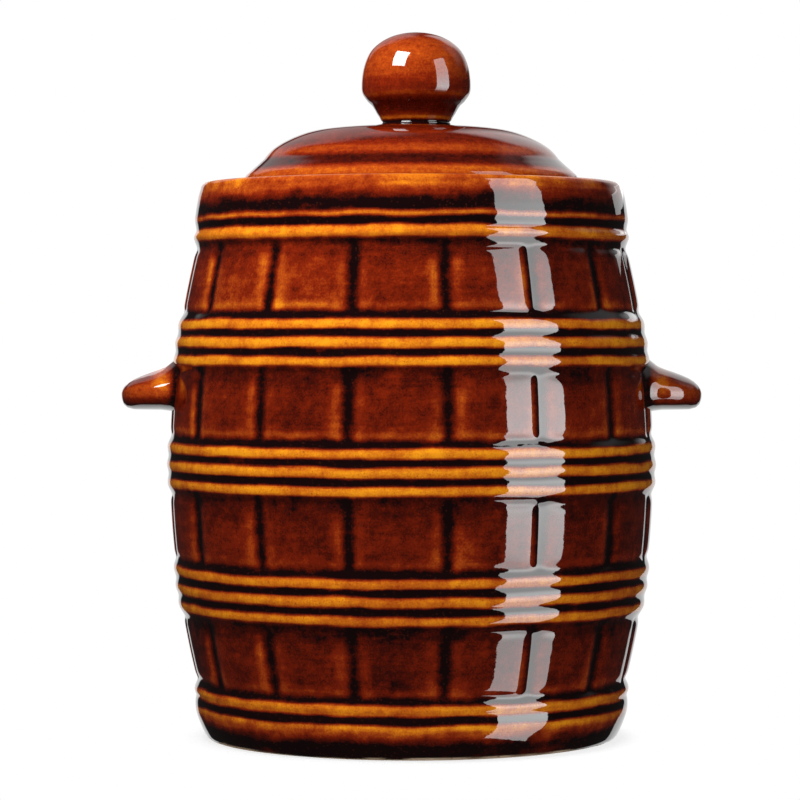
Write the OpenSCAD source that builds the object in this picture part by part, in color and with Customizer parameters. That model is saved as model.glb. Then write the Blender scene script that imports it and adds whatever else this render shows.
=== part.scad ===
// Stoneware barrel crock for fermenting vegetables, with its lid and its two pressing stones.
// Millimetres, +Z up. The origin is on the pot's axis, on the surface that the pot stands on.

/* [Pot] */
// Height of the pot, from the foot to the crest of the rim
pot_h = 239; // [232:1:250]
// Radius of the stave faces at the belly
belly_r = 104.5; // [98:0.5:115]
// Height of the belly, where the barrel is widest
belly_z = 118; // [112:1:124]
// How far the stave faces draw in from the belly to the rim and to the foot
belly_drop = 19; // [10:0.5:20]
// Thickness of the wall behind the stave faces
wall = 9.5; // [7:0.5:11]
// Thickness of the floor
floor_t = 12; // [8:0.5:16]
// Depth of the recess under the floor, inside the foot ring
foot_recess = 2.5; // [1:0.5:4]
// Width of the foot ring that the pot stands on
foot_ring_w = 12; // [8:1:16]

/* [Staves] */
// Number of staves around the pot
staves = 16; // [8:1:24]
// Turn of the staves about the axis, in degrees
stave_turn = 8.2; // [0:0.1:22.5]
// Height of the stave panels in each row
panel_h = 26.4; // [20:0.2:27]
// Distance from one row of panels to the next
row_pitch = 52.6; // [50:0.2:54]
// Depth of the grooves between the panels
groove_d = 1.8; // [0.5:0.1:3]
// Width of the upright groove between two staves
groove_w = 3.2; // [1:0.1:6]

/* [Hoops] */
// How far the crests of the hoops stand above the stave faces
hoop_rise = 1.6; // [0.5:0.1:2.5]
// Radius of a hoop's round section
hoop_section_r = 3; // [2:0.1:3.5]
// Distance between the hoops in a group of three
hoop_pitch = 7.6; // [6:0.1:8]
// How far the single hoops near the rim and the foot stand above the stave faces
end_hoop_rise = 2.6; // [1:0.1:3]
// Radius of the section of the thin hoop under the rim
line_hoop_section_r = 1.5; // [1:0.1:2]

/* [Rim] */
// Outer radius of the rim at its crest
rim_r = 89.5; // [86:0.5:92]
// Radius of the recess in the rim that takes the lid's flange
recess_r = 74.5; // [72:0.5:78]
// Depth of that recess below the crest, down to the ledge
recess_d = 7; // [4:0.5:9]
// Radius of the mouth
mouth_r = 64; // [62:0.5:68]
// Thickness of the ledge around the mouth
ledge_t = 8; // [6:0.5:12]

/* [Lid] */
// Clearance around the lid's flange in the recess
flange_gap = 2; // [1:0.5:3]
// Thickness of the lid's flange
flange_t = 9; // [6:0.5:11]
// Height of the lid's crown above the underside of its flange
crown_h = 32.5; // [30:0.5:40]
// Radius of the dome, where the flange's cove begins
dome_r = 64; // [60:0.5:65.5]
// How far the dome falls from its crown to that radius
dome_fall = 14.8; // [10:0.2:16]
// Thickness of the dome
dome_t = 7; // [5:0.5:9]
// Clearance between the lid's locating skirt and the mouth
skirt_gap = 1.5; // [0.5:0.5:3]
// Depth of the locating skirt below the ledge's face
skirt_d = 6.5; // [4:0.5:8]

/* [Knob] */
// Radius of the knob's neck
neck_r = 15.2; // [10:0.2:18]
// Radius of the knob's head at its widest
head_r = 23.6; // [20:0.2:30]
// Height of the knob above the lid's crown
knob_h = 40; // [34:0.5:48]
// How far the knob sits off the lid's axis
knob_shift = 2; // [0:0.5:3]

/* [Lugs] */
// Distance from the axis to the tip of a lug
lug_reach = 125.8; // [122:0.1:132]
// Width of a lug where it leaves the wall
lug_w = 50; // [40:1:60]
// Height of the flat underside of the lugs
lug_z = 141; // [138:0.5:144]

/* [Pressing stones] */
// Radius of the disc that the two half-moon stones make up
stone_r = 74; // [60:0.5:75]
// Thickness of the stones
stone_t = 20; // [12:1:24]
// Gap between the straight edges of the two stones
stone_gap = 1.6; // [1:0.2:4]
// Radius of the finger notch in each straight edge
notch_r = 13; // [9:0.5:18]

/* [Hidden] */
$fn = 128;

GLAZE_BROWN = "saddlebrown";
GLAZE_AMBER = "darkgoldenrod";
BARE_CLAY = "tan";

rows = [for (i = [0:3]) belly_z + (i - 1.5) * row_pitch];
groups = [for (i = [-1:1]) belly_z + i * row_pitch];
ledge_z = pot_h - recess_d;
crown_z = ledge_z + crown_h;

// The lowest hoop and the highest one stand alone, just outside the end rows of panels.
low_channel = 5.2;
high_channel = 6;
low_hoop_z = rows[0] - panel_h / 2 - low_channel;
high_hoop_z = rows[3] + panel_h / 2 + high_channel;
group_hoops = [for (g = groups) for (k = [-1:1]) g + k * hoop_pitch];

// The plain bands at the foot and under the rim, with the thin hoop at the rim band's lower edge.
foot_band_z = low_hoop_z - hoop_section_r - 1;
foot_band_lean = 0.6;
foot_bevel = [2, 1.5];
foot_r = rim_r - 1.5;
foot_recess_r = foot_r - foot_ring_w;
foot_recess_bevel = 1;
rim_band_z = high_hoop_z + hoop_section_r + 2;
rim_band_r = rim_r + 3.6;
rim_lean = [0.6, 6.5];
rim_edge = [[1.1, -1.5], [-1, 0]];
line_hoop = [0.9, 1.4];
inner_corner_r = 6;

// Radius of the stave faces at height z, and of the bottoms of the grooves.
function stave_r(z) = belly_r - belly_drop * pow((z - belly_z) / (pot_h / 2), 2);
function groove_r(z) = stave_r(z) - groove_d;
band_rise = hoop_rise + 1;
function band_r(z) = stave_r(z) + band_rise;

// One row of panels in section: it steps out of the groove, follows the barrel, and steps back.
function panel_points(z) = concat(
    [[groove_r(z - panel_h / 2), z - panel_h / 2]],
    [for (k = [-2:2]) [stave_r(z + k * panel_h / 4), z + k * panel_h / 4]],
    [[groove_r(z + panel_h / 2), z + panel_h / 2]]
);

function outer_points() = concat(
    [
        [foot_r, 0],
        [foot_r, 0] + foot_bevel,
        [band_r(foot_band_z) - foot_band_lean, foot_band_z * 2 / 3],
        [band_r(foot_band_z), foot_band_z],
        [groove_r(foot_band_z), foot_band_z],
    ],
    [for (z = rows) each panel_points(z)],
    [
        [groove_r(rim_band_z), rim_band_z],
        [rim_band_r, rim_band_z],
        [rim_band_r - rim_lean[0], pot_h - rim_lean[1]],
        [rim_r, pot_h] + rim_edge[0],
        [rim_r, pot_h] + rim_edge[1],
    ]
);

// The inside follows the staves up to a slope that carries the ledge, and turns into the floor.
ledge_slope_h = 10;
inner_top = ledge_z - ledge_t - ledge_slope_h;
inner_low = floor_t + inner_corner_r;
inner_corner = [-0.4, -0.7] * inner_corner_r;
inner_steps = 8;
recess_bevel = 1;
recess_bevel_z = pot_h - 0.8;
function inner_r(z) = stave_r(z) - wall;
function inner_points() = [
    for (k = [0:inner_steps])
        let (z = inner_top + (inner_low - inner_top) * k / inner_steps)
        [inner_r(z), z]
];

// The pot's wall in section, from the foot up the outside, over the rim and down the inside.
module pot_section() {
    polygon(concat(
        outer_points(),
        [
            [recess_r + recess_bevel, recess_bevel_z],
            [recess_r, recess_bevel_z - recess_bevel],
            [recess_r, ledge_z],
            [mouth_r, ledge_z],
            [mouth_r, ledge_z - ledge_t],
        ],
        inner_points(),
        [
            [inner_r(inner_low), inner_low] + inner_corner,
            [inner_r(inner_low) - inner_corner_r, floor_t],
            [0, floor_t],
            [0, foot_recess],
            [foot_recess_r, foot_recess],
            [foot_recess_r + foot_recess_bevel, 0],
        ]
    ));
}

module hoop_section(crest_r, z, section_r) {
    translate([crest_r - section_r, z])
        circle(r = section_r);
}

module hoop_sections() {
    for (z = group_hoops)
        hoop_section(stave_r(z) + hoop_rise, z, hoop_section_r);
    for (z = [low_hoop_z, high_hoop_z])
        hoop_section(stave_r(z) + end_hoop_rise, z, hoop_section_r);
    hoop_section(rim_band_r + line_hoop[0], rim_band_z + line_hoop[1], line_hoop_section_r);
}

// The groove beside one stave, cut through each row of panels and a little past its ends.
groove_over = 1;
groove_out_r = belly_r + 9;
module stave_groove() {
    half_turn = asin(groove_w / 2 / belly_r);
    rotate(-half_turn)
        rotate_extrude(angle = 2 * half_turn)
            for (z = rows)
                polygon([
                    [groove_r(z - panel_h / 2), z - panel_h / 2 - groove_over],
                    [groove_out_r, z - panel_h / 2 - groove_over],
                    [groove_out_r, z + panel_h / 2 + groove_over],
                    [groove_r(z + panel_h / 2), z + panel_h / 2 + groove_over],
                    [groove_r(z), z],
                ]);
}

module crock_body() {
    color(GLAZE_BROWN)
        difference() {
            rotate_extrude() {
                pot_section();
                hoop_sections();
            }
            for (i = [0:staves - 1])
                rotate(stave_turn + i * 360 / staves)
                    stave_groove();
            lug();
            mirror([1, 0, 0])
                lug();
        }
}

// A lug is a solid ledge that is set into the wall: its shelf in plan, cut to its profile.
lug_root = belly_r - wall / 2 - 2;
lug_tip_r = 4.2;
lug_tip_x = lug_reach - lug_tip_r;
lug_tip_z = lug_z + 7;
lug_top_z = lug_z + 22;
lug_over = 5;

// The lug's upper side, as distances in from the tip's centre and heights above its underside.
lug_shoulder = [[-5, 15], [-14, 18]];
lug_crest_x = -18;
lug_under_x = -2;

module lug_profile() {
    polygon([
        [lug_root, lug_z],
        [lug_tip_x + lug_under_x, lug_z],
        [lug_tip_x, lug_tip_z - lug_tip_r],
        [lug_tip_x, lug_tip_z + lug_tip_r],
        [lug_tip_x, lug_z] + lug_shoulder[0],
        [lug_tip_x, lug_z] + lug_shoulder[1],
        [lug_tip_x + lug_crest_x, lug_top_z],
        [lug_root, lug_top_z],
    ]);
    translate([lug_tip_x, lug_tip_z])
        circle(r = lug_tip_r);
}

// In plan the lug is a half-round ear that widens a little towards the wall.
ear_r = lug_w / 2 - 3;
ear_x = lug_reach - ear_r;
ear_side_x = ear_x + 4;
module lug_plan() {
    polygon([
        [lug_root, -lug_w / 2],
        [ear_side_x, -ear_r],
        [ear_side_x, ear_r],
        [lug_root, lug_w / 2],
    ]);
    intersection() {
        translate([ear_x, 0])
            circle(r = ear_r);
        translate([lug_root, -lug_w / 2])
            square([lug_reach, lug_w]);
    }
}

module lug() {
    intersection() {
        rotate([90, 0, 0])
            linear_extrude(height = lug_w + 2 * lug_over, center = true)
                lug_profile();
        translate([0, 0, lug_z - lug_over])
            linear_extrude(height = lug_top_z - lug_z + 2 * lug_over)
                lug_plan();
    }
}

module handle_right() {
    color(GLAZE_AMBER)
        lug();
}

module handle_left() {
    color(GLAZE_AMBER)
        mirror([1, 0, 0])
            lug();
}

// The dome carries a low flat seat for the knob and turns down hard towards its edge.
flange_r = recess_r - flange_gap;
skirt_r = mouth_r - skirt_gap;
seat_r = neck_r + knob_shift + 0.6;
seat_rise = 0.8;
seat_foot_r = seat_r + 3;
dome_power = 3.4;
dome_steps = 8;
function dome_z(t) = crown_z - seat_rise - (dome_fall - seat_rise) * pow(t, dome_power);
function dome_points(inset) = concat(
    [
        [0, crown_z - inset],
        [seat_r, crown_z - inset],
    ],
    [
        for (k = [0:dome_steps])
            let (t = sin(90 * k / dome_steps))
            [seat_foot_r + (dome_r - inset - seat_foot_r) * t, dome_z(t) - inset]
    ]
);
function reversed(list) = [for (k = [len(list) - 1:-1:0]) list[k]];

// The flange's cove, as distances in from the flange's radius and heights above its top.
flange_top = ledge_z + flange_t;
flange_cove = [[-2.4, 1.8], [-0.8, 0.6], [0, -1.5]];
dome_foot = [3, 4.5];
lid_bevel = 1;

module lid() {
    color(GLAZE_BROWN)
        rotate_extrude()
            polygon(concat(
                dome_points(0),
                [
                    [dome_r, flange_top] + dome_foot,
                    [flange_r, flange_top] + flange_cove[0],
                    [flange_r, flange_top] + flange_cove[1],
                    [flange_r, flange_top] + flange_cove[2],
                    [flange_r, ledge_z + lid_bevel],
                    [flange_r - lid_bevel, ledge_z],
                    [skirt_r, ledge_z],
                    [skirt_r - lid_bevel, ledge_z - skirt_d],
                    [dome_r - dome_t - lid_bevel, ledge_z - skirt_d],
                ],
                reversed(dome_points(dome_t))
            ));
}

// The knob's head is a rounded ball with a flat neck that is luted onto the lid's crown.
head_up = 18;
head_z = crown_z + head_up;
head_rise = knob_h - head_up;
head_power = 2.3;
head_steps = 12;
neck_h = 3;
neck_flare = [2.2, 6];
head_under = [[-2.4, 10.5], [-0.5, 14]];
function head_point(t) = [
    head_r * pow(max(0, 1 - pow(t, head_power)), 1 / head_power),
    head_z + head_rise * t
];

module lid_knob() {
    color(GLAZE_BROWN)
        translate([knob_shift, 0, 0])
            rotate_extrude()
                polygon(concat(
                    [
                        [0, crown_z],
                        [neck_r, crown_z],
                        [neck_r, crown_z + neck_h],
                        [neck_r, crown_z] + neck_flare,
                        [head_r, crown_z] + head_under[0],
                        [head_r, crown_z] + head_under[1],
                    ],
                    [for (k = [0:head_steps]) head_point(sin(90 * k / head_steps))]
                ));
}

module stone() {
    color(BARE_CLAY)
        translate([0, 0, floor_t])
            linear_extrude(height = stone_t)
                difference() {
                    intersection() {
                        circle(r = stone_r);
                        translate([stone_gap / 2, -stone_r])
                            square([stone_r, 2 * stone_r]);
                    }
                    circle(r = notch_r);
                }
}

module weight_right() {
    stone();
}

module weight_left() {
    mirror([1, 0, 0])
        stone();
}

crock_body();
handle_left();
handle_right();
lid();
lid_knob();
weight_left();
weight_right();
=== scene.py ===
"""A glazed stoneware barrel crock: pot, lug handles, lid, knob and pressing stones, around its CAD frame."""

import math

import bpy
import numpy as np
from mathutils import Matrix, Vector


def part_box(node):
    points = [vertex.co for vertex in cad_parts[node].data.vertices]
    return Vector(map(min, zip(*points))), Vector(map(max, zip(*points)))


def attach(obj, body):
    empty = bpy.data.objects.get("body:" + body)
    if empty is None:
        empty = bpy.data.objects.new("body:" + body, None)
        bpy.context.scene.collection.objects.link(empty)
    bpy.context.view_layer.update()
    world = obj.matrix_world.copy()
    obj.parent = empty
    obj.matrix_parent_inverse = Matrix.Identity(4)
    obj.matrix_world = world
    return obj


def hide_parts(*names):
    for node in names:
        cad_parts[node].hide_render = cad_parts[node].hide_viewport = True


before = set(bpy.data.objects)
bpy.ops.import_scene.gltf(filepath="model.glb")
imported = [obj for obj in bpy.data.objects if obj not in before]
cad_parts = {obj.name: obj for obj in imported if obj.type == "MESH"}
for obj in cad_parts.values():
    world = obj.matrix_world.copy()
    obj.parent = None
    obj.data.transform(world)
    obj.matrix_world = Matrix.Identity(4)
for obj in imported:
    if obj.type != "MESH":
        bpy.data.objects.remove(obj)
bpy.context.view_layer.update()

# Sizes are in millimetres. Meshes are scaled to metres when they are made.
MM = 0.001


def box_mm(node):
    return tuple(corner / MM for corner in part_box(node))


pot_high = box_mm("crock_body")[1]
lid_low, lid_high = box_mm("lid")
knob_low, knob_high = box_mm("lid_knob")
stone_low, stone_high = box_mm("weight_right")

# The barrel. Relief is measured from the faces of the staves, and the glaze has half filled it.
POT_H = pot_high.z
BELLY_Z = 118.0
BELLY_R = 104.5
BELLY_DROP = 19.0
MEAN_R = 98.0
STAVES = 16
STAVE_TURN = math.radians(8.2)
ROW_PITCH = 52.6
PANEL_H = 28.2
PANEL_ROLL = 5.6
PANEL_SHARPNESS = 1.8
PANEL_CORNER = 4.4
GROOVE_HALF_W = 0.8
GROOVE_LEVEL = -1.0
CHANNEL_LEVEL = -0.05
VALLEY_LEVEL = 0.62
ROWS = [BELLY_Z + (i - 1.5) * ROW_PITCH for i in range(4)]
GROUPS = [BELLY_Z + i * ROW_PITCH for i in (-1, 0, 1)]

# For each row from the lowest: the glaze on the faces, how much thicker it is just above them, and how much it
# thins at their edges.
FACE_GLAZE = [0.76, 0.73, 0.7, 0.7]
TOP_SHADE = [0.03, 0.03, 0.03, 0.15]
EDGE_GLOW = [0.8, 0.65, 1.0, 1.1]

# Hoops, as (height, rise above the faces, half width of the relief, half width of the thin glaze on the crest,
# thickness of that glaze). Three stand in each group, and the low hoop and the high hoop stand alone.
HOOP_PITCH = 7.6
HOOP_REACH = 4.1
GROUP_GLAZE = [0.19, 0.12, 0.12]
GROUP_SHAPE = ((-1, 1.25, 2.15), (0, 1.48, 2.4), (1, 1.25, 2.25))
HOOPS = [(z + side * HOOP_PITCH, rise, HOOP_REACH, half_w, glaze)
         for z, glaze in zip(GROUPS, GROUP_GLAZE) for side, rise, half_w in GROUP_SHAPE]
HOOPS += [(20.7, 2.3, 5.0, 2.5, 0.19), (216.0, 2.5, 5.3, 2.75, 0.2)]

# The foot band and the rim band, as (height, radius) down their faces.
FOOT_BAND = [(0, 88.2), (1, 89.2), (3.6, 90.5), (6.2, 91.6), (9, 92.65), (10.8, 93.25), (12, 93.55), (14.5, 93.75),
             (16.5, 93.7), (18, 93.4), (20, 92.9)]
RIM_BAND = [(218, 92.9), (219.4, 93.1), (221, 93.4), (222.6, 93.75), (223.6, 93.75), (225, 93.5), (227.5, 93.2),
            (230, 92.75), (232.7, 92.3), (234.7, 91.8), (236.6, 91.2), (239, 90.3)]
RIM_ROLL = 2.6

# The mouth, the recess that takes the lid, the inside and the underside.
MOUTH_R = 64.0
RECESS_R = 74.5
LEDGE_Z = lid_low.z + 6.5
LEDGE_T = 8.0
WALL = 9.5
FLOOR_Z = stone_low.z
FOOT_R = 88.0
FOOT_RING_R = 76.5
FOOT_RECESS = 2.5
BARE_LINE = 0.8

# Glaze thickness where it pools and in the upright grooves. 1 or more is black.
POOLED = 1.2
GROOVE_GLAZE = 1.1

# Painted light: the top row's glaze is made thinner, and so lighter, by this much around this angle, in degrees
# from +X, over this many degrees. The angle faces the key light, and the lighter patch paints in the light that
# side of the row catches.
PAINTED_LIGHT_ANGLE = 232.0
PAINTED_LIGHT_SPREAD = 26.0
PAINTED_LIGHT_THINNING = 0.12

# Glaze thickness down the foot band and the rim band, as (height, thickness).
FOOT_GLAZE = [(0, 1.2), (5.5, 1.15), (7, 0.95), (9.5, 0.62), (11.5, 0.38), (13, 0.17), (14.1, 0.2), (14.8, 0.5),
              (15.3, 1.2)]
RIM_GLAZE = [(221.4, 1.2), (222, 0.55), (222.7, 0.27), (223.5, 0.31), (224.2, 0.65), (225.2, 1.1), (228, 1.05),
             (229.6, 0.88), (231, 0.75), (233, 0.6), (234.6, 0.46), (235.6, 0.34), (236.4, 0.46), (237.2, 0.24),
             (239, 0.2)]

# The mesh has this many columns on each stave, and the relief is worked out on a finer field.
COLUMNS = 24
FIELD_COLUMNS = 1536
FIELD_STEP = 0.4
field_theta = np.arange(FIELD_COLUMNS) * 2 * math.pi / FIELD_COLUMNS
field_z = np.arange(0, POT_H + FIELD_STEP, FIELD_STEP)
rng = np.random.default_rng(7)


def smooth(low, high, x):
    """0 below low, 1 above high, and a soft step between."""
    t = np.clip((x - low) / (high - low), 0.0, 1.0)
    return t * t * (3 - 2 * t)


def bump(centre, width, x):
    return np.exp(-(((x - centre) / width) ** 2))


def stave_r(z):
    return BELLY_R - BELLY_DROP * ((z - BELLY_Z) / (POT_H / 2)) ** 2


def wave(theta, size, low=3, high=26, count=9):
    """A smooth wobble that closes around the pot, about size millimetres high."""
    turns = rng.integers(low, high, count)
    phases = rng.uniform(0, 2 * math.pi, count)
    heights = rng.uniform(0.4, 1.0, count) / np.sqrt(turns / low)
    parts = heights[:, None] * np.sin(turns[:, None] * theta[None, :] + phases[:, None])
    return size * parts.sum(0) / np.sqrt((heights**2).sum() / 2)


def blurred(field, sigma, down=0.0):
    """The field under a Gaussian of sigma millimetres, moved down. It closes around the pot."""
    rows, columns = field.shape
    pad = int((6 * sigma + abs(down)) / FIELD_STEP) + 1
    padded = np.pad(field, ((pad, pad), (0, 0)), mode="edge")
    up_waves = np.fft.fftfreq(padded.shape[0], FIELD_STEP)[:, None]
    round_waves = np.fft.rfftfreq(columns, 2 * math.pi * MEAN_R / columns)[None, :]
    kept = np.exp(-2 * (math.pi * sigma) ** 2 * (up_waves**2 + round_waves**2))
    moved = np.exp(2j * math.pi * up_waves * down)
    out = np.fft.irfft2(np.fft.rfft2(padded) * kept * moved, s=padded.shape)
    return out[pad:pad + rows]


def noise_field(shape, sigma):
    field = blurred(rng.standard_normal(shape), sigma)
    return field / field.std()


def edge_distances(row):
    """Distances in from a row's panel edges (nearest, sides, bottom, top), and the place across each panel."""
    pitch = 2 * math.pi / STAVES
    turn = (field_theta - STAVE_TURN) / pitch
    stave = np.floor(turn).astype(int) % STAVES
    wide, tall, side, lift, rounding = rng.uniform(-1, 1, (5, STAVES))[:, stave]
    across = (turn - np.floor(turn) - 0.5)[None, :] * pitch * stave_r(field_z)[:, None] + 0.2 * side
    along = field_z[:, None] - row - 0.15 * lift - wave(field_theta, 0.14, 8, 60)[None, :]
    half_w = pitch * stave_r(field_z)[:, None] / 2 - GROOVE_HALF_W + 0.15 * wide
    half_h = PANEL_H / 2 + 0.15 * tall
    corner = PANEL_CORNER + rounding
    past_x = np.abs(across) - half_w + corner
    past_z = PANEL_SHARPNESS * (np.abs(along) - half_h) + corner
    outside = np.hypot(np.maximum(past_x, 0), np.maximum(past_z, 0))
    depth = corner - outside - np.minimum(np.maximum(past_x, past_z), 0)
    return depth, half_w - np.abs(across), half_h + along, half_h - along, across


def pot_fields():
    """The glaze's outer radius, and its thickness from 0, honey, to 1, black, at each height and angle."""
    z = field_z[:, None]
    around = np.ones((1, FIELD_COLUMNS))
    in_groove = np.minimum.reduce([smooth(PANEL_H / 2 - 1.5, PANEL_H / 2 + 1, np.abs(z - row)) for row in ROWS])
    relief = (GROOVE_LEVEL + (CHANNEL_LEVEL - GROOVE_LEVEL) * in_groove) * around
    thick = np.full(relief.shape, POOLED)

    for row, face, shade, glow in zip(ROWS, FACE_GLAZE, TOP_SHADE, EDGE_GLOW):
        depth, side, bottom, top, across = edge_distances(row)
        roll = PANEL_ROLL * (1 - 0.14 * np.tanh(across / 8))
        rise = 1 - (1 - np.clip(depth / roll, 0, 1)) ** 1.15
        relief = np.where(depth > 0, relief * (1 - rise) + 0.12 * smooth(3, 12, depth), relief)
        patchy = glow * np.clip(0.9 + 0.25 * noise_field(relief.shape, 4.5), 0.3, 1.4)
        edge = 0.24 * bump(2.8, 1.7, bottom) + (0.24 + 0.08 * np.tanh(across / 6)) * bump(3.9, 2.5, side)
        edge = np.minimum(edge, 0.32)
        # Painted light: the top row's glaze is thinned, and so lightened, on the side that faces the key light.
        painted_light_around = bump(PAINTED_LIGHT_ANGLE, PAINTED_LIGHT_SPREAD, np.degrees(field_theta))
        painted_light_thinning = PAINTED_LIGHT_THINNING * painted_light_around * (row == ROWS[-1])
        body = face - painted_light_thinning - edge * patchy * smooth(1, 9, top) + 0.15 * (1 - smooth(1, 10, top))
        body += shade * (1 - smooth(-1.5, 1.5, top))
        shown = smooth(-1.5, 3.6, side) * smooth(-0.8, 2.2, bottom)
        groove = np.maximum(GROOVE_GLAZE, POOLED * smooth(0, -1.5, bottom))
        body = groove + (body - groove) * shown
        thick = np.minimum(thick, body + (POOLED - body) * (1 - smooth(-3.6, -2.8, top)))

    for group in GROUPS:
        plateau = 1 - smooth(8.2, 12.2, np.abs(z - group))
        relief = relief + (VALLEY_LEVEL - relief) * plateau
    for centre, rise, reach, half_w, glaze in HOOPS:
        line = centre + wave(field_theta, 0.13)[None, :]
        section = (1 + np.cos(math.pi * np.clip((z - line) / reach, -1, 1))) / 2
        relief = relief + (rise - relief) * section
        lower = line - half_w + wave(field_theta, 0.1, 5, 60)[None, :]
        upper = line + half_w + wave(field_theta, 0.14, 4, 24)[None, :]
        crest = glaze + 0.3 * smooth(-1.5, 0.2, z - upper) + 0.16 * smooth(-0.4, -3.2, z - line)
        inside = smooth(-0.3, 0.3, z - lower) * smooth(-0.5, 0.5, upper - z)
        thick = np.minimum(thick, POOLED - (POOLED - crest) * inside)

    radius = stave_r(z) + relief
    for band in (FOOT_BAND, RIM_BAND):
        radius = np.maximum(radius, np.interp(field_z, *zip(*band), left=0, right=0)[:, None])
    thick = np.minimum(thick, band_glaze())

    radius = blurred(radius, 0.75)
    radius += wave(field_theta, 0.1, 2, 5, 3)[None, :]
    radius += 0.016 * noise_field(radius.shape, 6.0)
    thick = blurred(thick, 0.25)
    mottle = 0.04 * noise_field(thick.shape, 12.0) + 0.03 * noise_field(thick.shape, 5.0)
    thick += mottle * (1 - 0.7 * smooth(214, 222, z)) + 0.04 * noise_field(thick.shape, 1.2)
    return radius, np.clip(thick, 0, POOLED)


def band_glaze():
    """Glaze on the two bands, with long level streaks where the brush went round."""
    thick = np.full((len(field_z), FIELD_COLUMNS), POOLED)
    streaks = noise_field(thick.shape, 0.7)
    streaks = np.fft.irfft(np.fft.rfft(streaks, axis=1) * np.exp(-np.arange(FIELD_COLUMNS // 2 + 1) / 24), axis=1)
    streaks /= streaks.std()
    for table in (FOOT_GLAZE, RIM_GLAZE):
        heights, values = zip(*table)
        lifted = field_z[:, None] + wave(field_theta, 0.2)[None, :]
        above = POOLED if table is FOOT_GLAZE else values[-1]
        band = np.interp(lifted, heights, values, left=POOLED, right=above)
        thick = np.minimum(thick, band + 0.06 * streaks)
    return thick


def sample(field, theta, z):
    """The field's values at one height, at the angles theta."""
    place = min(z / FIELD_STEP, field.shape[0] - 1.001)
    low = int(place)
    ring = field[low] * (1 - place + low) + field[low + 1] * (place - low)
    return np.interp(theta, field_theta, ring, period=2 * math.pi)


def new_object(name, vertices, faces, layers):
    """A smooth mesh object from millimetres, with a named number on each vertex for each layer."""
    mesh = bpy.data.meshes.new(name)
    mesh.from_pydata((np.asarray(vertices) * MM).tolist(), [], faces)
    mesh.polygons.foreach_set("use_smooth", [True] * len(mesh.polygons))
    for layer, values in layers.items():
        attribute = mesh.attributes.new(layer, "FLOAT", "POINT")
        attribute.data.foreach_set("value", np.asarray(values, np.float32))
    mesh.update()
    obj = bpy.data.objects.new(name, mesh)
    bpy.context.scene.collection.objects.link(obj)
    return obj


def bridge(a, b, start_a, start_b):
    """Faces between two closed rings of a and b points, where one count divides the other."""
    if a < b:
        return [tuple(reversed(face)) for face in bridge(b, a, start_b, start_a)]
    step = a // b
    faces = []
    for j in range(b):
        near, far = start_b + j, start_b + (j + 1) % b
        if step == 1:
            faces.append((start_a + j, start_a + (j + 1) % a, far, near))
            continue
        for m in range(step):
            i = j * step + m
            faces.append((start_a + i, start_a + (i + 1) % a, near if m < step // 2 else far))
        faces.append((start_a + j * step + step // 2, far, near))
    return faces


class Lathe:
    """A closed surface through rings, listed from the middle of the underside to the middle of the top."""

    def __init__(self, theta, centre=(0.0, 0.0)):
        self.theta, self.centre = theta, centre
        self.rings, self.layers = [], {"glaze": [], "bare": [], "worn": []}

    def ring(self, r, z, glaze, bare=0.0, every=1, worn=0.0):
        theta = self.theta[::every]
        r = np.broadcast_to(r, theta.shape)
        x = self.centre[0] + r * np.cos(theta)
        y = self.centre[1] + r * np.sin(theta)
        self.rings.append(np.column_stack([x, y, np.broadcast_to(float(z), theta.shape)]))
        for layer, value in (("glaze", glaze), ("bare", bare), ("worn", worn)):
            self.layers[layer].append(np.broadcast_to(value, theta.shape))

    def build(self, name):
        counts = [len(ring) for ring in self.rings]
        starts = np.concatenate([[0], np.cumsum(counts)]).tolist()
        faces = []
        for k in range(len(counts) - 1):
            faces += bridge(counts[k], counts[k + 1], starts[k], starts[k + 1])
        low_pole, high_pole, top = starts[-1], starts[-1] + 1, starts[-2]
        faces += [(low_pole, (i + 1) % counts[0], i) for i in range(counts[0])]
        faces += [(high_pole, top + i, top + (i + 1) % counts[-1]) for i in range(counts[-1])]
        poles = [self.rings[0].mean(0)[None], self.rings[-1].mean(0)[None]]
        layers = {
            layer: np.concatenate(values + [[values[0].mean()], [values[-1].mean()]])
            for layer, values in self.layers.items()
        }
        return new_object(name, np.vstack(self.rings + poles), faces, layers)


def curve(knots, step):
    """A smooth curve through (r, z) knots, with points about step millimetres apart."""
    p = np.array(knots, float)
    at = np.concatenate([[0], np.cumsum(np.linalg.norm(np.diff(p, axis=0), axis=1))])
    slope = np.gradient(p, at, axis=0)
    out = []
    for i in range(len(p) - 1):
        span = at[i + 1] - at[i]
        count = max(1, round(span / step))
        t = (np.arange(count) / count)[:, None]
        out.append((2 * t**3 - 3 * t**2 + 1) * p[i] + (t**3 - 2 * t**2 + t) * span * slope[i]
                   + (3 * t**2 - 2 * t**3) * p[i + 1] + (t**3 - t**2) * span * slope[i + 1])
    return np.vstack(out + [p[-1:]])


def row_heights(low, high):
    """Heights of the mesh rows: close together at hoops and panel edges, further apart elsewhere."""
    z = np.arange(low, high, 0.05)
    gap = np.full(z.shape, 0.82)
    for row in ROWS:
        gap += 1.9 * (1 - smooth(PANEL_H / 2 - 7, PANEL_H / 2 - 4, np.abs(z - row)))
    gap += 0.8 * (1 - smooth(10, 15, z)) + 0.5 * smooth(226, 229, z)
    place = np.cumsum(0.05 / gap)
    count = int(place[-1])
    return np.interp(np.linspace(place[0], place[-1], count), place, z)


def stave_angles():
    """Angles of the mesh columns, close together at the grooves between staves."""
    t = np.arange(COLUMNS) / COLUMNS
    within = t - 0.112 * np.sin(2 * math.pi * t)
    turns = np.arange(STAVES)[:, None] + within[None, :]
    return turns.ravel() * 2 * math.pi / STAVES + STAVE_TURN


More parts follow.
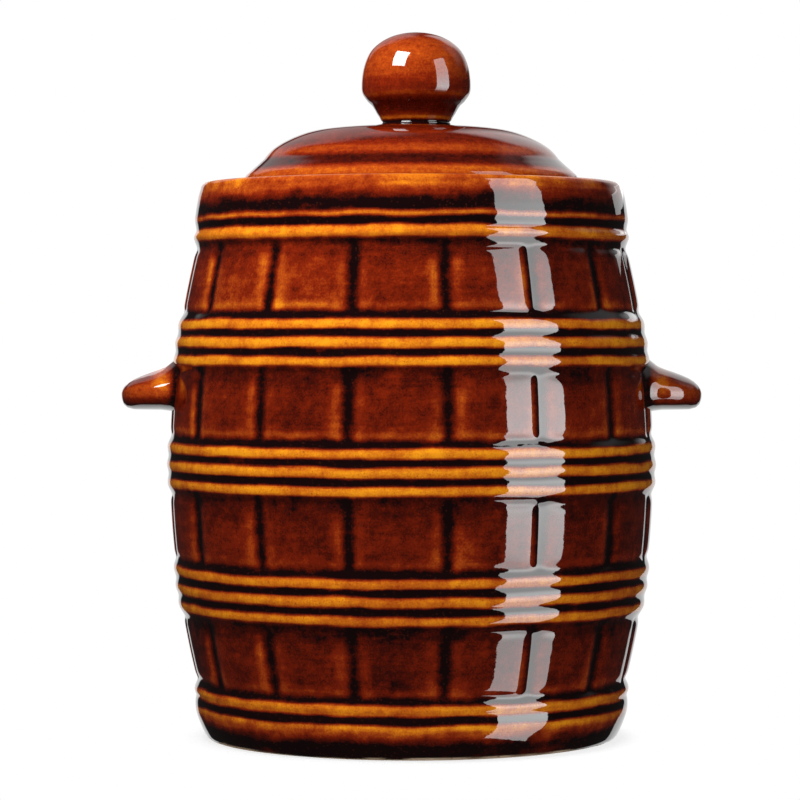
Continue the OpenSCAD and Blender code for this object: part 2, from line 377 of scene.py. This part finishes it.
def make_pot():
    radius, glaze = pot_fields()
    theta = stave_angles()
    pot = Lathe(theta)
    bare_line = BARE_LINE + wave(theta, 0.35, 3, 40)

    # The underside: a shallow recess and the foot ring, in bare clay.
    for r in np.linspace(6, FOOT_RING_R - 1.5, 12):
        pot.ring(r, FOOT_RECESS, 0.5, 1.0, 4)
    foot_ring = [(FOOT_RING_R - 0.6, FOOT_RECESS - 0.3), (FOOT_RING_R, 0.9), (FOOT_RING_R + 1.2, 0),
                 (FOOT_R - 4, 0), (FOOT_R - 1, 0.04)]
    for r, z in curve(foot_ring, 1.5):
        pot.ring(r, max(z, 0.0), 0.5, 1.0, 4)

    # The outside, from the foot to where the rim rolls over.
    edge = [0.25, 0.9, 1.6]
    for z in edge + list(row_heights(2.3, POT_H - RIM_ROLL)):
        under = 0.8 * max(0.0, 1 - z / edge[-1]) ** 2
        bare = 1 - smooth(-0.3, 0.3, z - bare_line)
        pot.ring(sample(radius, theta, z) - under, z, sample(glaze, theta, z), bare)
    crest = sample(radius, theta, POT_H - RIM_ROLL)
    crest_glaze = sample(glaze, theta, POT_H - RIM_ROLL)
    for turn in (0.25, 0.5, 0.75, 1.0):
        angle = turn * math.pi / 2
        pot.ring(crest - RIM_ROLL * (1 - math.cos(angle)), POT_H - RIM_ROLL * (1 - math.sin(angle)),
                 np.clip(crest_glaze * (1 - 0.3 * turn), 0, 1), worn=max(0.0, 2 * turn - 1))

    # The rim's flat top, the recess and the bare ledge that the lid sits on.
    rim_top = [(crest.mean() - RIM_ROLL - 2, POT_H), (80, POT_H - 0.1), (76.6, POT_H - 0.6), (75, POT_H - 1.6),
               (RECESS_R, POT_H - 3.4), (RECESS_R - 0.1, LEDGE_Z + 1.4)]
    rim_patches = wave(theta[::2], 0.05, 3, 30)
    for r, z in curve(rim_top, 1.4):
        thin = 0.5 * smooth(POT_H - 3.2, POT_H - 1.2, z) + 0.2 * bump(76.2, 1.2, r)
        pot.ring(r, z, 0.84 - thin + rim_patches, 0.0, 2, smooth(76, 77.5, r))
    ledge = [(RECESS_R - 1.1, LEDGE_Z + 0.25), (RECESS_R - 2.5, LEDGE_Z), (MOUTH_R + 1.5, LEDGE_Z),
             (MOUTH_R + 0.3, LEDGE_Z - 0.4), (MOUTH_R, LEDGE_Z - 1.8)]
    for r, z in curve(ledge, 1.4):
        pot.ring(r, z, 0.5, 1 - smooth(-0.2, 0.9, LEDGE_Z - z), 2)

    # The inside: under the ledge, down the wall with its throwing rings, and across the floor.
    top = LEDGE_Z - LEDGE_T - 10
    shelf = [(MOUTH_R, LEDGE_Z - 4), (MOUTH_R + 0.4, LEDGE_Z - LEDGE_T + 0.6),
             (MOUTH_R + 2.6, LEDGE_Z - LEDGE_T - 1.4), (76.5, top + 4.4)]
    wall = [(stave_r(z) - WALL, z) for z in np.linspace(top, FLOOR_Z + 9, 30)]
    floor = [(stave_r(FLOOR_Z + 4) - WALL - 1.2, FLOOR_Z + 3.6), (stave_r(FLOOR_Z) - WALL - 4.2, FLOOR_Z + 0.7),
             (70, FLOOR_Z), (40, FLOOR_Z), (6, FLOOR_Z)]
    for r, z in curve(shelf + wall + floor, 3.0):
        throwing = math.sin(z * 0.9) * smooth(FLOOR_Z + 6, FLOOR_Z + 20, z)
        pot.ring(r + 0.09 * throwing, z, 0.62 + 0.1 * throwing, 0.0, 4)
    return pot.build("crock_body_glazed")


# Glaze thickness over the lid and the knob, as (height, thickness).
LID_GLAZE = [(232, 0.85), (237, 0.7), (239.3, 0.5), (241, 0.36), (243, 0.38), (244, 0.58), (245.2, 0.86),
             (247.8, 0.92), (249, 0.7), (250.4, 0.5), (252.2, 0.5), (253.6, 0.64), (255.5, 0.74), (258, 0.68),
             (260, 0.76), (262, 0.72), (263.6, 0.82), (265, 0.9)]
KNOB_GLAZE = [(264, 1.2), (265.6, 1.15), (266.2, 0.5), (267.1, 0.2), (268, 0.5), (270, 0.8), (273, 0.8),
              (275.5, 0.7), (276.8, 0.42), (278, 0.56), (280, 0.66), (283, 0.6), (286, 0.5), (292, 0.46),
              (299, 0.5), (304.5, 0.62)]


def glaze_at(table, z):
    heights, values = zip(*table)
    return float(np.interp(z, heights, values))


def round_angles(count):
    return np.arange(count) * 2 * math.pi / count


def make_lid():
    theta = round_angles(256)
    lid = Lathe(theta)
    wobble = wave(theta, 0.12, 2, 6, 4)
    crown = lid_high.z
    underside = [(5, crown - 7.1), (18, crown - 7.3), (30, crown - 7.9), (40, crown - 9.2), (47, crown - 11.7),
                 (52, crown - 15.5), (54.6, crown - 20.5), (55.6, crown - 26.5), (56, lid_low.z + 4)]
    for r, z in curve(underside, 2.2):
        lid.ring(r, z, 0.6 + 0.06 * math.sin(r * 0.9), 0.0, 2)
    skirt = [(56.4, lid_low.z + 1.2), (57.6, lid_low.z + 0.1), (60.6, lid_low.z), (62, lid_low.z + 1.1),
             (62.4, LEDGE_Z - 3), (62.5, LEDGE_Z - 0.9), (63.6, LEDGE_Z), (70.6, LEDGE_Z), (72, LEDGE_Z + 0.8)]
    for r, z in curve(skirt, 1.2):
        lid.ring(r, z, 0.5, 1.0, 2)
    flange = [(72.45, LEDGE_Z + 2.4), (72.5, LEDGE_Z + 6.5), (72.3, LEDGE_Z + 8.6), (71.5, LEDGE_Z + 10.3),
              (70.2, LEDGE_Z + 11.5), (68.2, LEDGE_Z + 13.3), (66.6, LEDGE_Z + 14.7), (65.2, LEDGE_Z + 16)]
    dome = [(64, crown - 15.4), (62.4, crown - 13.4), (60.3, crown - 11.2), (57.6, crown - 9.2),
            (54.3, crown - 7.3), (50.2, crown - 5.4), (45, crown - 3.6), (38, crown - 2.3), (29, crown - 1.6),
            (21, crown - 1.1), (17.5, crown - 0.6), (15.6, crown - 0.1), (5, crown)]
    for r, z in curve(flange + dome, 0.8):
        fade = smooth(4, 60, r)
        bare = 1 - smooth(-0.4, 0.4, z - LEDGE_Z - 2.6 - 2 * wobble)
        lid.ring(r + wobble * fade * 0.6, z, glaze_at(LID_GLAZE, z), bare)
    return lid.build("lid_glazed")


def make_knob():
    middle = (knob_low + knob_high) / 2
    knob = Lathe(round_angles(160), (middle.x, middle.y))
    seat = knob_low.z
    neck = [(4, seat - 0.5), (13, seat - 0.5), (14.7, seat - 0.3), (15, seat + 0.3), (14.5, seat + 1),
            (15.2, seat + 1.8), (15.8, seat + 3), (16.9, seat + 4.7), (17.9, seat + 6.5), (19, seat + 8.2),
            (20.8, seat + 9.9), (22.1, seat + 11.6), (23.05, seat + 13.1), (23.5, seat + 14.6)]
    head = [(23.62, seat + 17), (23.5, seat + 19.5), (23.25, seat + 21.7), (22.9, seat + 23.7),
            (22.4, seat + 25.6), (21.85, seat + 27.3), (21.2, seat + 28.9), (20.3, seat + 30.6),
            (19.1, seat + 32.3), (17.3, seat + 34.1), (14.6, seat + 36.1), (10.8, seat + 38), (6, seat + 39.35),
            (2.4, seat + 39.85)]
    for r, z in curve(neck + head, 0.55):
        knob.ring(r, z, glaze_at(KNOB_GLAZE, z))
    return knob.build("lid_knob_glazed")


# A lug's upper and lower edge along its middle, as (distance from the axis, height). They meet at its tip.
LUG_MIDDLE_Z = 148.2
LUG_TOP = [(97, 166), (101, 164.6), (103.4, 162.6), (106.4, 160.2), (109.5, 158.9), (113.1, 157.7), (116.6, 156.4),
           (119.8, 155), (121.9, 153.7), (123.6, 152.2), (124.8, 150.6), (125.6, LUG_MIDDLE_Z)]
LUG_UNDER = [(97, 138.5), (101, 139.6), (104, 140.7), (108, 141.2), (116, 141.3), (120, 141.4), (122.8, 142.1),
             (124.4, 143.4), (125.3, 145.4), (125.6, LUG_MIDDLE_Z)]
LUG_HALF_W = 23.5
LUG_STATIONS = 44
LUG_AROUND = 80

# The two lugs are not quite alike: the fillet's spread and reach, the power of the outline in plan, and how square
# the section is. The first is the right lug.
LUG_SHAPES = {1: (3.5, 2.6, 3.0, 2.5), -1: (1.2, 1.5, 3.4, 2.3)}


def make_lug(name, side):
    """A rounded shelf of clay that leaves the wall in a fillet. side is 1 on the right and -1 on the left."""
    root, tip = LUG_TOP[0][0], LUG_TOP[-1][0]
    spread, reach, plan, squareness = LUG_SHAPES[side]
    phi = round_angles(LUG_AROUND)
    cos, sin = np.cos(phi), np.sin(phi)
    sharp_cos = np.sign(cos) * np.abs(cos) ** (2 / squareness)
    sharp_sin = np.sign(sin) * np.abs(sin) ** (2 / squareness)
    rings, thick = [], []
    for t in np.sin(np.linspace(0, math.pi / 2, LUG_STATIONS)):
        x = root + (tip - root) * min(t, 0.9995)
        u = (x - root) / (tip - root)
        upper, under = (np.interp(x, *zip(*edge)) for edge in (LUG_TOP, LUG_UNDER))
        middle = LUG_MIDDLE_Z
        flare = spread * math.exp(-(x - 101) / reach)
        half_w = (LUG_HALF_W + flare) * (1 - u**plan) ** 0.5
        y = half_w * sharp_cos
        droop = 0.25 * (y / LUG_HALF_W) ** 2
        z = middle + np.where(sin > 0, upper - middle, middle - under) * sharp_sin - droop * np.maximum(sin, 0) * 4
        bow = 0.0022 * y**2 * (1 - u)
        rings.append(np.column_stack([side * (x - bow), side * y, z]))
        joint = np.hypot(x - bow, y) - stave_r(z) + 0.6
        glaze = 0.7 + 0.25 * smooth(0.1, -0.8, sharp_sin) + 0.5 * (1 - smooth(0.8, 3.2, joint))
        glaze -= 0.34 * bump(7, 3.4, joint) * smooth(-0.2, 0.6, sharp_sin)
        glaze -= 0.2 * smooth(0.75, 1.0, np.abs(sharp_cos)) * smooth(2, 5, joint)
        thick.append(np.clip(glaze, 0, 1))
    faces = []
    for k in range(LUG_STATIONS - 1):
        faces += bridge(LUG_AROUND, LUG_AROUND, k * LUG_AROUND, (k + 1) * LUG_AROUND)
    faces.append(tuple(range(LUG_AROUND - 1, -1, -1)))
    faces.append(tuple((LUG_STATIONS - 1) * LUG_AROUND + i for i in range(LUG_AROUND)))
    points = np.vstack(rings)
    glaze = np.concatenate(thick)
    return new_object(name, points, faces, {"glaze": glaze, "bare": 0 * glaze, "worn": 0 * glaze})


STONE_CENTRE = 48.0
STONE_EDGE = 3.0
NOTCH_R = 13.0


def stone_outline(theta, inset):
    """Distance from the stone's middle to its outline, inset evenly, for each angle."""
    low, high = np.zeros_like(theta), np.full_like(theta, 90.0)
    for _ in range(30):
        r = (low + high) / 2
        x, y = STONE_CENTRE + r * np.cos(theta), r * np.sin(theta)
        sides = [np.hypot(x, y) - stone_high.y, stone_low.x - x, NOTCH_R - np.hypot(x, y)]
        past = sides[0]
        for side in sides[1:]:
            past = np.maximum(past, side) + np.maximum(4 - np.abs(past - side), 0) ** 2 / 16
        out = past > -inset
        low, high = np.where(out, low, r), np.where(out, r, high)
    return low


def make_stone(name, side):
    """A half-moon stone with worn edges and a finger notch. side is 1 on the right and -1 on the left."""
    theta = round_angles(240)
    stone = Lathe(theta + (0 if side > 0 else math.pi), (side * STONE_CENTRE, 0))
    outline = stone_outline(theta, STONE_EDGE)
    steps = [k * math.pi / 16 for k in range(9)]
    low = [(share, 0, stone_low.z) for share in (0.1, 0.3, 0.5, 0.7, 0.9)]
    low += [(1, STONE_EDGE * (1 - math.sin(a)), stone_low.z + STONE_EDGE * (1 - math.cos(a))) for a in steps]
    high = [(share, inset, stone_low.z + stone_high.z - z) for share, inset, z in reversed(low)]
    face = [(1, 0, z) for z in np.linspace(stone_low.z + STONE_EDGE, stone_high.z - STONE_EDGE, 8)[1:-1]]
    for share, inset, z in low + face + high:
        r = stone_outline(theta, inset) if share == 1 else outline * share
        stone.ring(r, z, 0.5, 1.0)
    return stone.build(name)


class Nodes:
    """A short way to write a material's node tree."""

    def __init__(self, material):
        material.use_nodes = True
        self.tree = material.node_tree
        self.shader = self.tree.nodes["Principled BSDF"]
        self.place = self.tree.nodes.new("ShaderNodeTexCoord").outputs["Object"]

    def node(self, kind, inputs=None, **settings):
        made = self.tree.nodes.new(kind)
        for key, value in settings.items():
            setattr(made, key, value)
        for key, value in (inputs or {}).items():
            self.set(made.inputs[key], value)
        return made

    def set(self, socket, value):
        if isinstance(value, bpy.types.NodeSocket):
            self.tree.links.new(value, socket)
        else:
            socket.default_value = value

    def math(self, operation, a, b=0.0, c=0.0, clamp=False):
        made = self.node("ShaderNodeMath", {0: a, 1: b, 2: c}, operation=operation, use_clamp=clamp)
        return made.outputs[0]

    def layer(self, name):
        return self.node("ShaderNodeAttribute", attribute_name=name).outputs["Fac"]

    def noise(self, scale, detail=2.0, stretch=None):
        """Noise from 0 to 1. stretch scales the place first, so a large z makes level streaks."""
        place = self.place
        if stretch:
            place = self.node("ShaderNodeMapping", {"Vector": place, "Scale": stretch}).outputs[0]
        made = self.node("ShaderNodeTexNoise", {"Vector": place, "Scale": scale, "Detail": detail})
        return made.outputs["Fac"]

    def ramp(self, value, stops):
        made = self.node("ShaderNodeValToRGB", {"Fac": value})
        elements = made.color_ramp.elements
        while len(elements) < len(stops):
            elements.new(0.5)
        for element, (position, colour) in zip(elements, stops):
            element.position = position
            element.color = (*colour, 1.0) if isinstance(colour, tuple) else (colour, colour, colour, 1.0)
        return made.outputs["Color"]

    def mix(self, share, a, b):
        made = self.node("ShaderNodeMix", data_type="RGBA")
        for socket, value in ((made.inputs[0], share), (made.inputs[6], a), (made.inputs[7], b)):
            self.set(socket, (*value, 1.0) if isinstance(value, tuple) else value)
        return made.outputs[2]


# The glaze from where it runs thin over the clay, honey, to where it pools, black.
GLAZE_STOPS = [
    (0.0, (0.88, 0.325, 0.010)),
    (0.2, (0.63, 0.162, 0.007)),
    (0.4, (0.37, 0.053, 0.005)),
    (0.6, (0.19, 0.0135, 0.002)),
    (0.8, (0.075, 0.0048, 0.001)),
    (1.0, (0.006, 0.0012, 0.0014)),
]


# The glaze's mottling, as (noise scale, detail, stretch, size in glaze thickness).
GLAZE_MOTTLE = [(70, 3, None, 0.2), (420, 3, None, 0.27), (1300, 2, None, 0.33), (70, 4, (1, 1, 8), 0.22)]

# Specks in the glaze, as (cells per metre, solid radius, outer radius, cells left out, strength, colour).
GLAZE_SPECKS = [(300.0, 0.05, 0.13, 0.8, 0.7, (0.06, 0.014, 0.006)),
                (760.0, 0.1, 0.3, 0.6, 0.45, (0.10, 0.02, 0.005))]
GLAZE_IOR = 1.75
WORN_ROUGHNESS = 0.45
BARE_ROUGHNESS = 0.85


def specks(n, scale, solid, outer, left_out):
    """1 in a round speck in some of the noise's cells, and 0 elsewhere."""
    cells = n.node("ShaderNodeTexVoronoi", {"Vector": n.place, "Scale": scale})
    speck = n.ramp(cells.outputs["Distance"], [(solid, 1.0), (outer, 0.0)])
    draw = n.node("ShaderNodeSeparateColor", {0: cells.outputs["Color"]}).outputs[0]
    return n.math("MULTIPLY", speck, n.math("GREATER_THAN", draw, left_out))


def clay_colour(n):
    """Fired buff clay with darker patches and iron specks."""
    clay = n.ramp(n.noise(90, 4), [(0.3, (0.42, 0.28, 0.17)), (0.7, (0.60, 0.45, 0.30))])
    return n.mix(specks(n, 420.0, 0.12, 0.26, 0.72), clay, (0.13, 0.07, 0.035))


def glaze_material(name):
    """Running honey glaze over clay: bare where the layer "bare" says so, and dull where the layer "worn" does."""
    material = bpy.data.materials.new(name)
    n = Nodes(material)
    thick = n.layer("glaze")
    for scale, detail, stretch, size in GLAZE_MOTTLE:
        thick = n.math("ADD", thick, n.math("MULTIPLY_ADD", n.noise(scale, detail, stretch), size, -size / 2))
    colour = n.ramp(n.math("ADD", thick, 0.0, clamp=True), GLAZE_STOPS)
    for scale, solid, outer, left_out, strength, speck_colour in GLAZE_SPECKS:
        shown = n.math("MULTIPLY", specks(n, scale, solid, outer, left_out), strength)
        colour = n.mix(shown, colour, speck_colour)

    bare = n.layer("bare")
    n.set(n.shader.inputs["Base Color"], n.mix(bare, colour, clay_colour(n)))
    gloss = n.math("MULTIPLY_ADD", n.noise(150, 3), 0.03, 0.012)
    gloss = n.math("MAXIMUM", gloss, n.math("MULTIPLY", n.layer("worn"), WORN_ROUGHNESS))
    n.set(n.shader.inputs["Roughness"], n.math("MAXIMUM", gloss, n.math("MULTIPLY", bare, BARE_ROUGHNESS)))
    n.shader.inputs["IOR"].default_value = GLAZE_IOR

    ripple = n.node("ShaderNodeBump", {"Strength": 0.25, "Distance": 0.00008, "Height": n.noise(260, 2)})
    grain_height = n.math("MULTIPLY", n.noise(1600, 4), bare)
    grain = n.node("ShaderNodeBump", {"Strength": 0.5, "Distance": 0.0004, "Height": grain_height,
                                      "Normal": ripple.outputs[0]})
    n.set(n.shader.inputs["Normal"], grain.outputs[0])
    return material


def clay_material(name):
    material = bpy.data.materials.new(name)
    n = Nodes(material)
    n.set(n.shader.inputs["Base Color"], clay_colour(n))
    n.set(n.shader.inputs["Roughness"], n.math("MULTIPLY_ADD", n.noise(300, 3), 0.2, 0.7))
    lumps = n.node("ShaderNodeBump", {"Strength": 0.5, "Distance": 0.0006, "Height": n.noise(120, 3)})
    grain = n.node("ShaderNodeBump", {"Strength": 0.6, "Distance": 0.0004, "Height": n.noise(1500, 4),
                                      "Normal": lumps.outputs[0]})
    n.set(n.shader.inputs["Normal"], grain.outputs[0])
    return material


def place_piece(piece, body, node, material):
    piece.data.materials.append(material)
    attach(piece, body)
    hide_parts(node)
    return piece


FLOOR_COLOUR = (0.86, 0.86, 0.86, 1)
FLOOR_R = 6.0
FLOOR_Z_M = -0.0003

# The floor begins to fade and is gone at these distances from the axis, in metres.
FLOOR_FADE = (0.088, 0.1)


def make_floor():
    """A pale floor that fades out around the pot, so that it has no edge. It hides nothing from below."""
    bpy.ops.mesh.primitive_circle_add(vertices=96, radius=FLOOR_R, fill_type="NGON", location=(0, 0, FLOOR_Z_M))
    floor = bpy.context.object
    floor.name = "floor"
    material = bpy.data.materials.new("pale_floor")
    n = Nodes(material)
    n.shader.inputs["Base Color"].default_value = FLOOR_COLOUR
    n.shader.inputs["Roughness"].default_value = 0.9
    distance = n.node("ShaderNodeVectorMath", {0: n.place}, operation="LENGTH").outputs["Value"]
    reach = {"Value": distance, "From Min": FLOOR_FADE[0], "From Max": FLOOR_FADE[1], "To Min": 0.8}
    fade = n.node("ShaderNodeMapRange", reach, interpolation_type="SMOOTHSTEP").outputs[0]
    clear = n.math("MAXIMUM", fade, n.node("ShaderNodeNewGeometry").outputs["Backfacing"])
    nothing = n.node("ShaderNodeBsdfTransparent")
    blend = n.node("ShaderNodeMixShader", {0: clear, 1: n.shader.outputs[0], 2: nothing.outputs[0]})
    n.set(n.tree.nodes["Material Output"].inputs["Surface"], blend.outputs[0])
    floor.data.materials.append(material)
    floor.visible_glossy = False
    floor.visible_diffuse = False
    floor.visible_shadow = False


WALL_RADIANCE = 0.9
ROOM_RADIANCE = 0.02
BACKDROP_GREY = 0.68

# Bright parts of the room, as the azimuths and then the elevations over which each fades in and fades out, and its
# share of the wall's radiance. Angles are in degrees, and azimuth is measured from the camera's side towards +X.
PANEL = ((134, 156), (176, 170), (9.4, 10.6), (46, 38), 1.0)
CEILING = ((176, 186), (222, 212), (16, 20), (62, 44), 0.45)
HAZE = ((98, 116), (150, 134), (16, 28), (58, 46), 0.22)

# The backdrop's near edge as the pot mirrors it: its azimuth, and the elevation from which it slants.
BACKDROP_EDGE = 157.0
SLANT_FROM = 3.0
LOW_EDGE_SHIFT = 7.0


def make_world():
    """A backdrop for the camera, white behind the pot and grey elsewhere. The pot sees a dim room instead."""
    world = bpy.data.worlds.new("studio")
    world.use_nodes = True
    bpy.context.scene.world = world
    tree = world.node_tree
    tree.nodes.clear()

    def add(kind, **settings):
        made = tree.nodes.new(kind)
        for key, value in settings.items():
            setattr(made, key, value)
        return made

    def maths(operation, a, b=0.0):
        made = add("ShaderNodeMath", operation=operation)
        for socket, value in zip(made.inputs, (a, b)):
            if isinstance(value, float):
                socket.default_value = value
            else:
                tree.links.new(value, socket)
        return made.outputs[0]

    def step(value, low, high):
        made = add("ShaderNodeMapRange", interpolation_type="SMOOTHSTEP")
        made.inputs["From Min"].default_value = low
        made.inputs["From Max"].default_value = high
        tree.links.new(value, made.inputs["Value"])
        return made.outputs[0]

    direction = add("ShaderNodeSeparateXYZ")
    tree.links.new(add("ShaderNodeTexCoord").outputs["Generated"], direction.inputs[0])
    x, y, z = direction.outputs
    turn = maths("ARCTAN2", maths("MULTIPLY", x, -1.0), y)
    azimuth = maths("ADD", maths("MULTIPLY", turn, math.degrees(1)), 180.0)
    elevation = maths("MULTIPLY", maths("ARCSINE", z), math.degrees(1))

    def area(left, right, low, high, share):
        across = maths("MULTIPLY", step(azimuth, *left), step(azimuth, *right))
        up = maths("MULTIPLY", step(elevation, *low), step(elevation, *high))
        return maths("MULTIPLY", maths("MULTIPLY", across, up), share)

    edge = maths("ADD", BACKDROP_EDGE, maths("MAXIMUM", maths("SUBTRACT", elevation, SLANT_FROM), 0.0))
    edge = maths("SUBTRACT", edge, maths("MULTIPLY", step(elevation, 0, -14), LOW_EDGE_SHIFT))
    backdrop = maths("MULTIPLY", step(maths("SUBTRACT", azimuth, edge), -0.8, 0.8), step(azimuth, 202, 199))
    backdrop = maths("MULTIPLY", backdrop, maths("MULTIPLY", step(elevation, 14, 12), step(elevation, -50, -40)))
    bright = backdrop
    for part in (PANEL, CEILING, HAZE):
        bright = maths("MAXIMUM", bright, area(*part))
    radiance = maths("ADD", maths("MULTIPLY", bright, WALL_RADIANCE), ROOM_RADIANCE)
    camera = add("ShaderNodeLightPath").outputs["Is Camera Ray"]
    white = maths("MULTIPLY", step(y, 0.86, 0.975), 1.0 - BACKDROP_GREY)
    shown = maths("MULTIPLY", camera, maths("ADD", white, BACKDROP_GREY))
    seen = maths("ADD", shown, maths("MULTIPLY", radiance, maths("SUBTRACT", 1.0, camera)))
    background = add("ShaderNodeBackground")
    background.inputs["Color"].default_value = (1, 1, 1, 1)
    tree.links.new(seen, background.inputs["Strength"])
    tree.links.new(background.outputs[0], add("ShaderNodeOutputWorld").inputs["Surface"])


def softbox(name, azimuth, elevation, distance, width, height, radiance, aim_z=0.13, reflected=True, lights=True):
    """A rectangular light. Azimuth is in degrees from the camera's side towards +X."""
    data = bpy.data.lights.new(name, "AREA")
    data.shape = "RECTANGLE"
    data.size, data.size_y = width, height
    data.energy = radiance * math.pi * width * height
    light = bpy.data.objects.new(name, data)
    turn, tilt = math.radians(azimuth), math.radians(elevation)
    away = Vector((math.sin(turn) * math.cos(tilt), -math.cos(turn) * math.cos(tilt), math.sin(tilt)))
    light.location = Vector((0, 0, aim_z)) + distance * away
    light.rotation_euler = away.to_track_quat("Z", "Y").to_euler()
    light.visible_glossy = reflected
    light.visible_diffuse = lights
    light.visible_camera = False
    bpy.context.scene.collection.objects.link(light)
    return light


def shine_on(light, pieces):
    """The light reaches only these pieces."""
    chosen = bpy.data.collections.new(light.name + "_on")
    for piece in pieces:
        chosen.objects.link(piece)
    light.light_linking.receiver_collection = chosen


def fade_with_height(light, middle, reach, low):
    """The light keeps only the share low of its strength far above and below the height middle."""
    light.data.use_nodes = True
    tree = light.data.node_tree
    place = tree.nodes.new("ShaderNodeSeparateXYZ")
    tree.links.new(tree.nodes.new("ShaderNodeNewGeometry").outputs["Position"], place.inputs[0])
    near = tree.nodes.new("ShaderNodeMapRange")
    near.interpolation_type = "SMOOTHSTEP"
    away = tree.nodes.new("ShaderNodeMath")
    away.operation = "SUBTRACT"
    away.inputs[1].default_value = middle
    tree.links.new(place.outputs[2], away.inputs[0])
    size = tree.nodes.new("ShaderNodeMath")
    size.operation = "ABSOLUTE"
    tree.links.new(away.outputs[0], size.inputs[0])
    tree.links.new(size.outputs[0], near.inputs["Value"])
    near.inputs["From Max"].default_value = reach
    near.inputs["To Min"].default_value = 1.0
    near.inputs["To Max"].default_value = low
    tree.links.new(near.outputs[0], tree.nodes["Emission"].inputs["Strength"])


# The camera, in metres, and its lens in millimetres. It was fitted to the ellipses of the hoops.
CAMERA_PLACE = (0, -1.407, 0.171)
CAMERA_AIM = (-0.00354, 1, -0.01817)
CAMERA_LENS = 146.1
CAMERA_SENSOR = 36


def make_camera():
    data = bpy.data.cameras.new("camera")
    data.lens = CAMERA_LENS
    data.sensor_width = CAMERA_SENSOR
    camera = bpy.data.objects.new("camera", data)
    camera.location = CAMERA_PLACE
    camera.rotation_euler = Vector(CAMERA_AIM).to_track_quat("-Z", "Y").to_euler()
    bpy.context.scene.collection.objects.link(camera)
    bpy.context.scene.camera = camera


# The strip window to the right, and the square key light to the left whose glint is a separate light.
STRIP_AZIMUTH = 58.7
STRIP_W, STRIP_H = 0.81, 2.8
KEY_AZIMUTH, KEY_ELEVATION = -41, 42.6
KEY_AIM_Z = 0.29


def light_studio():
    """The strip and the glint are mirrored but give no light. The key, the fills and the bounce do the reverse."""
    for name, pieces, distance, radiance in (("strip_right", (pot, left_lug, right_lug, knob), 1.55, 5.2),
                                             ("strip_right_lid", (lid,), 1.6, 3.2)):
        strip = softbox(name, STRIP_AZIMUTH, 0, distance, STRIP_W, STRIP_H, radiance, aim_z=0.1, lights=False)
        fade_with_height(strip, 0.15, 0.75, 0.58)
        shine_on(strip, pieces)
    softbox("key_left", KEY_AZIMUTH, KEY_ELEVATION, 0.45, 0.215, 0.24, 22.0, aim_z=KEY_AIM_Z, reflected=False)
    glint = softbox("key_glint", KEY_AZIMUTH, KEY_ELEVATION, 0.44, 0.21, 0.235, 16.0, aim_z=KEY_AIM_Z,
                    lights=False)
    shine_on(glint, (knob, left_lug, right_lug))
    softbox("fill_right", 35, 25, 1.5, 1.1, 1.1, 2.2, reflected=False)
    softbox("fill_left", -35, 5, 1.5, 1.1, 1.1, 1.6, reflected=False)
    card = softbox("card_right", 150, 0, 0.5, 0.37, 0.05, 0.95, aim_z=0.301, lights=False)
    shine_on(card, (pot,))
    card = softbox("card_left", -170, 20, 0.6, 0.36, 0.3, 0.95, aim_z=0.155, lights=False)
    shine_on(card, (left_lug,))
    softbox("bounce", 0, -38, 1.3, 1.4, 0.9, 1.8, reflected=False)


make_camera()
pot_glaze = glaze_material("honey_glaze")
clay = clay_material("buff_clay")
pot = place_piece(make_pot(), "crock", "crock_body", pot_glaze)
right_lug = place_piece(make_lug("handle_right_glazed", 1), "crock", "handle_right", pot_glaze)
left_lug = place_piece(make_lug("handle_left_glazed", -1), "crock", "handle_left", pot_glaze)
lid = place_piece(make_lid(), "lid", "lid", pot_glaze)
knob = place_piece(make_knob(), "lid", "lid_knob", pot_glaze)
place_piece(make_stone("weight_right_stone", 1), "right_stone", "weight_right", clay)
place_piece(make_stone("weight_left_stone", -1), "left_stone", "weight_left", clay)

make_floor()
make_world()
light_studio()
bpy.context.scene.view_settings.view_transform = "Standard"
